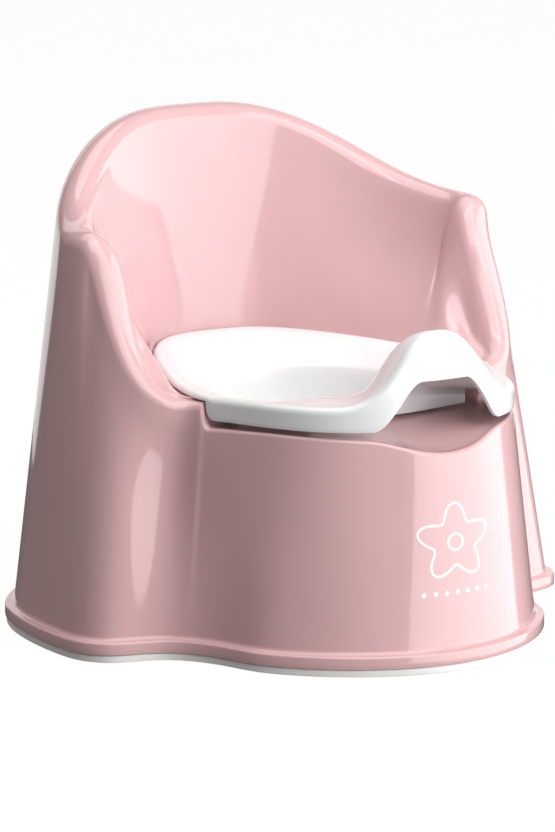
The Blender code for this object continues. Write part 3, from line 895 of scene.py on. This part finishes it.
def lights():
    """Broad soft light from the front right, from above, from behind and from below."""
    softbox("key", ring_place(44.0, 1.7, KEY_HEIGHT), (0.0, 0.0, KEY_HEIGHT), (3.7, 1.9), 40.0)
    softbox("top_front", ring_place(-5.0, 1.25, 1.65), CENTRE, (1.9, 1.3), 15.5)
    softbox("overhead", (-0.1, 0.0, 2.1), CENTRE, (2.2, 2.0), 21.0)
    softbox("behind", ring_place(150.0, 2.6, 0.7), CENTRE, (2.6, 2.2), 13.0)
    softbox("back_fill", ring_place(205.0, 2.4, 1.0), CENTRE, (2.4, 2.2), 18.0, mirrored=False)
    softbox("front_low", ring_place(15.0, 1.5, 1.0), CENTRE, (1.2, 0.7), 7.0, mirrored=False)
    softbox("floor_bounce", ring_place(10.0, 0.6, -1.1), CENTRE, (3.0, 3.0), 14.0, mirrored=False)


def camera():
    """A long lens, a little above the seat and to the left of the chair's front."""
    back = Vector((math.sin(CAMERA_AZIMUTH) * math.cos(CAMERA_ELEVATION),
                   -math.cos(CAMERA_AZIMUTH) * math.cos(CAMERA_ELEVATION),
                   math.sin(CAMERA_ELEVATION)))
    data = bpy.data.cameras.new("camera")
    data.sensor_width = SENSOR_WIDTH
    data.lens = CAMERA_LENS
    data.clip_end = VIEW_LIMIT
    made = bpy.data.objects.new("camera", data)
    bpy.context.scene.collection.objects.link(made)
    made.location = CAMERA_TARGET + back * CAMERA_DISTANCE
    face_along(made, back)
    bpy.context.scene.camera = made


def camera_choice(nodes, links, seen, unseen, output):
    """Gives the output `seen` for the camera's rays and `unseen` for all others."""
    choice = nodes.new("ShaderNodeMixShader")
    rays = nodes.new("ShaderNodeLightPath")
    links.new(rays.outputs["Is Camera Ray"], choice.inputs["Fac"])
    links.new(unseen.outputs[0], choice.inputs[1])
    links.new(seen.outputs[0], choice.inputs[2])
    links.new(choice.outputs["Shader"], output.inputs["Surface"])


def floor():
    """A plain pale floor, wide enough for every view; only the camera's rays stop at it."""
    mesh = bpy.data.meshes.new("floor")
    corners = ((-1.0, -1.0), (1.0, -1.0), (1.0, 1.0), (-1.0, 1.0))
    mesh.from_pydata([(x * FLOOR_HALF, y * FLOOR_HALF, 0.0) for x, y in corners],
                     [], [(0, 1, 2, 3)])
    made = bpy.data.objects.new("floor", mesh)
    bpy.context.scene.collection.objects.link(made)
    matt = bpy.data.materials.new("floor_paint")
    matt.use_nodes = True
    nodes = matt.node_tree.nodes
    links = matt.node_tree.links
    nodes.remove(nodes["Principled BSDF"])
    pale = nodes.new("ShaderNodeBsdfDiffuse")
    pale.inputs["Color"].default_value = (FLOOR_GREY, FLOOR_GREY, FLOOR_GREY, 1.0)
    glow = nodes.new("ShaderNodeEmission")
    glow.inputs["Color"].default_value = WHITE_LIGHT
    glow.inputs["Strength"].default_value = FLOOR_GLOW
    open_below = nodes.new("ShaderNodeBsdfTransparent")
    both = nodes.new("ShaderNodeAddShader")
    links.new(pale.outputs[0], both.inputs[0])
    links.new(glow.outputs[0], both.inputs[1])
    camera_choice(nodes, links, both, open_below, nodes["Material Output"])
    mesh.materials.append(matt)
    made.location.z = -FLOOR_DROP


def world():
    """White to the camera, and a faint warm fill from all round for everything else."""
    made = bpy.data.worlds.new("studio")
    made.use_nodes = True
    bpy.context.scene.world = made
    nodes = made.node_tree.nodes
    links = made.node_tree.links
    seen = nodes["Background"]
    seen.inputs["Color"].default_value = WHITE_LIGHT
    seen.inputs["Strength"].default_value = 1.0
    fill = nodes.new("ShaderNodeBackground")
    fill.inputs["Color"].default_value = FILL_COLOUR
    fill.inputs["Strength"].default_value = FILL_STRENGTH
    camera_choice(nodes, links, seen, fill, nodes["World Output"])


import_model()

pink = plastic("pink_gloss", PINK, 0.10, 1.2, 0.004, coat=0.5)
white = plastic("white_gloss", WHITE, 0.14, 1.2, 0.004, mottle=0.012)
ink = plastic("motif_print", PRINT, 0.35, 0.5, 0.01, mottle=0.01)
rubber = plastic("strip_matt", RUBBER, 0.55, 0.6, 0.04)

chair = make_wall("chair_moulding", shell_rows(True), shell_rows(False), pink, WALL)
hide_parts("chair_shell")
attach(chair, "chair")

pole = (0.0, BOWL_CENTRE_Y, BOWL_BOTTOM_Z)
potty = make_wall("potty_moulding", potty_rows(True), potty_rows(False), white,
                  POTTY_WALL, pole, drop_skirt)
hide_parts("inner_potty")
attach(potty, "potty")

motif = make_motif(chair, ink)
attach(motif, "chair")

strip = make_strip(rubber)
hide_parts("non_slip_strip")
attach(strip, "chair")

floor()
world()
camera()
lights()
bpy.context.scene.view_settings.view_transform = "Standard"
bpy.context.scene.view_settings.gamma = PICTURE_GAMMA

bpy.context.view_layer.update()
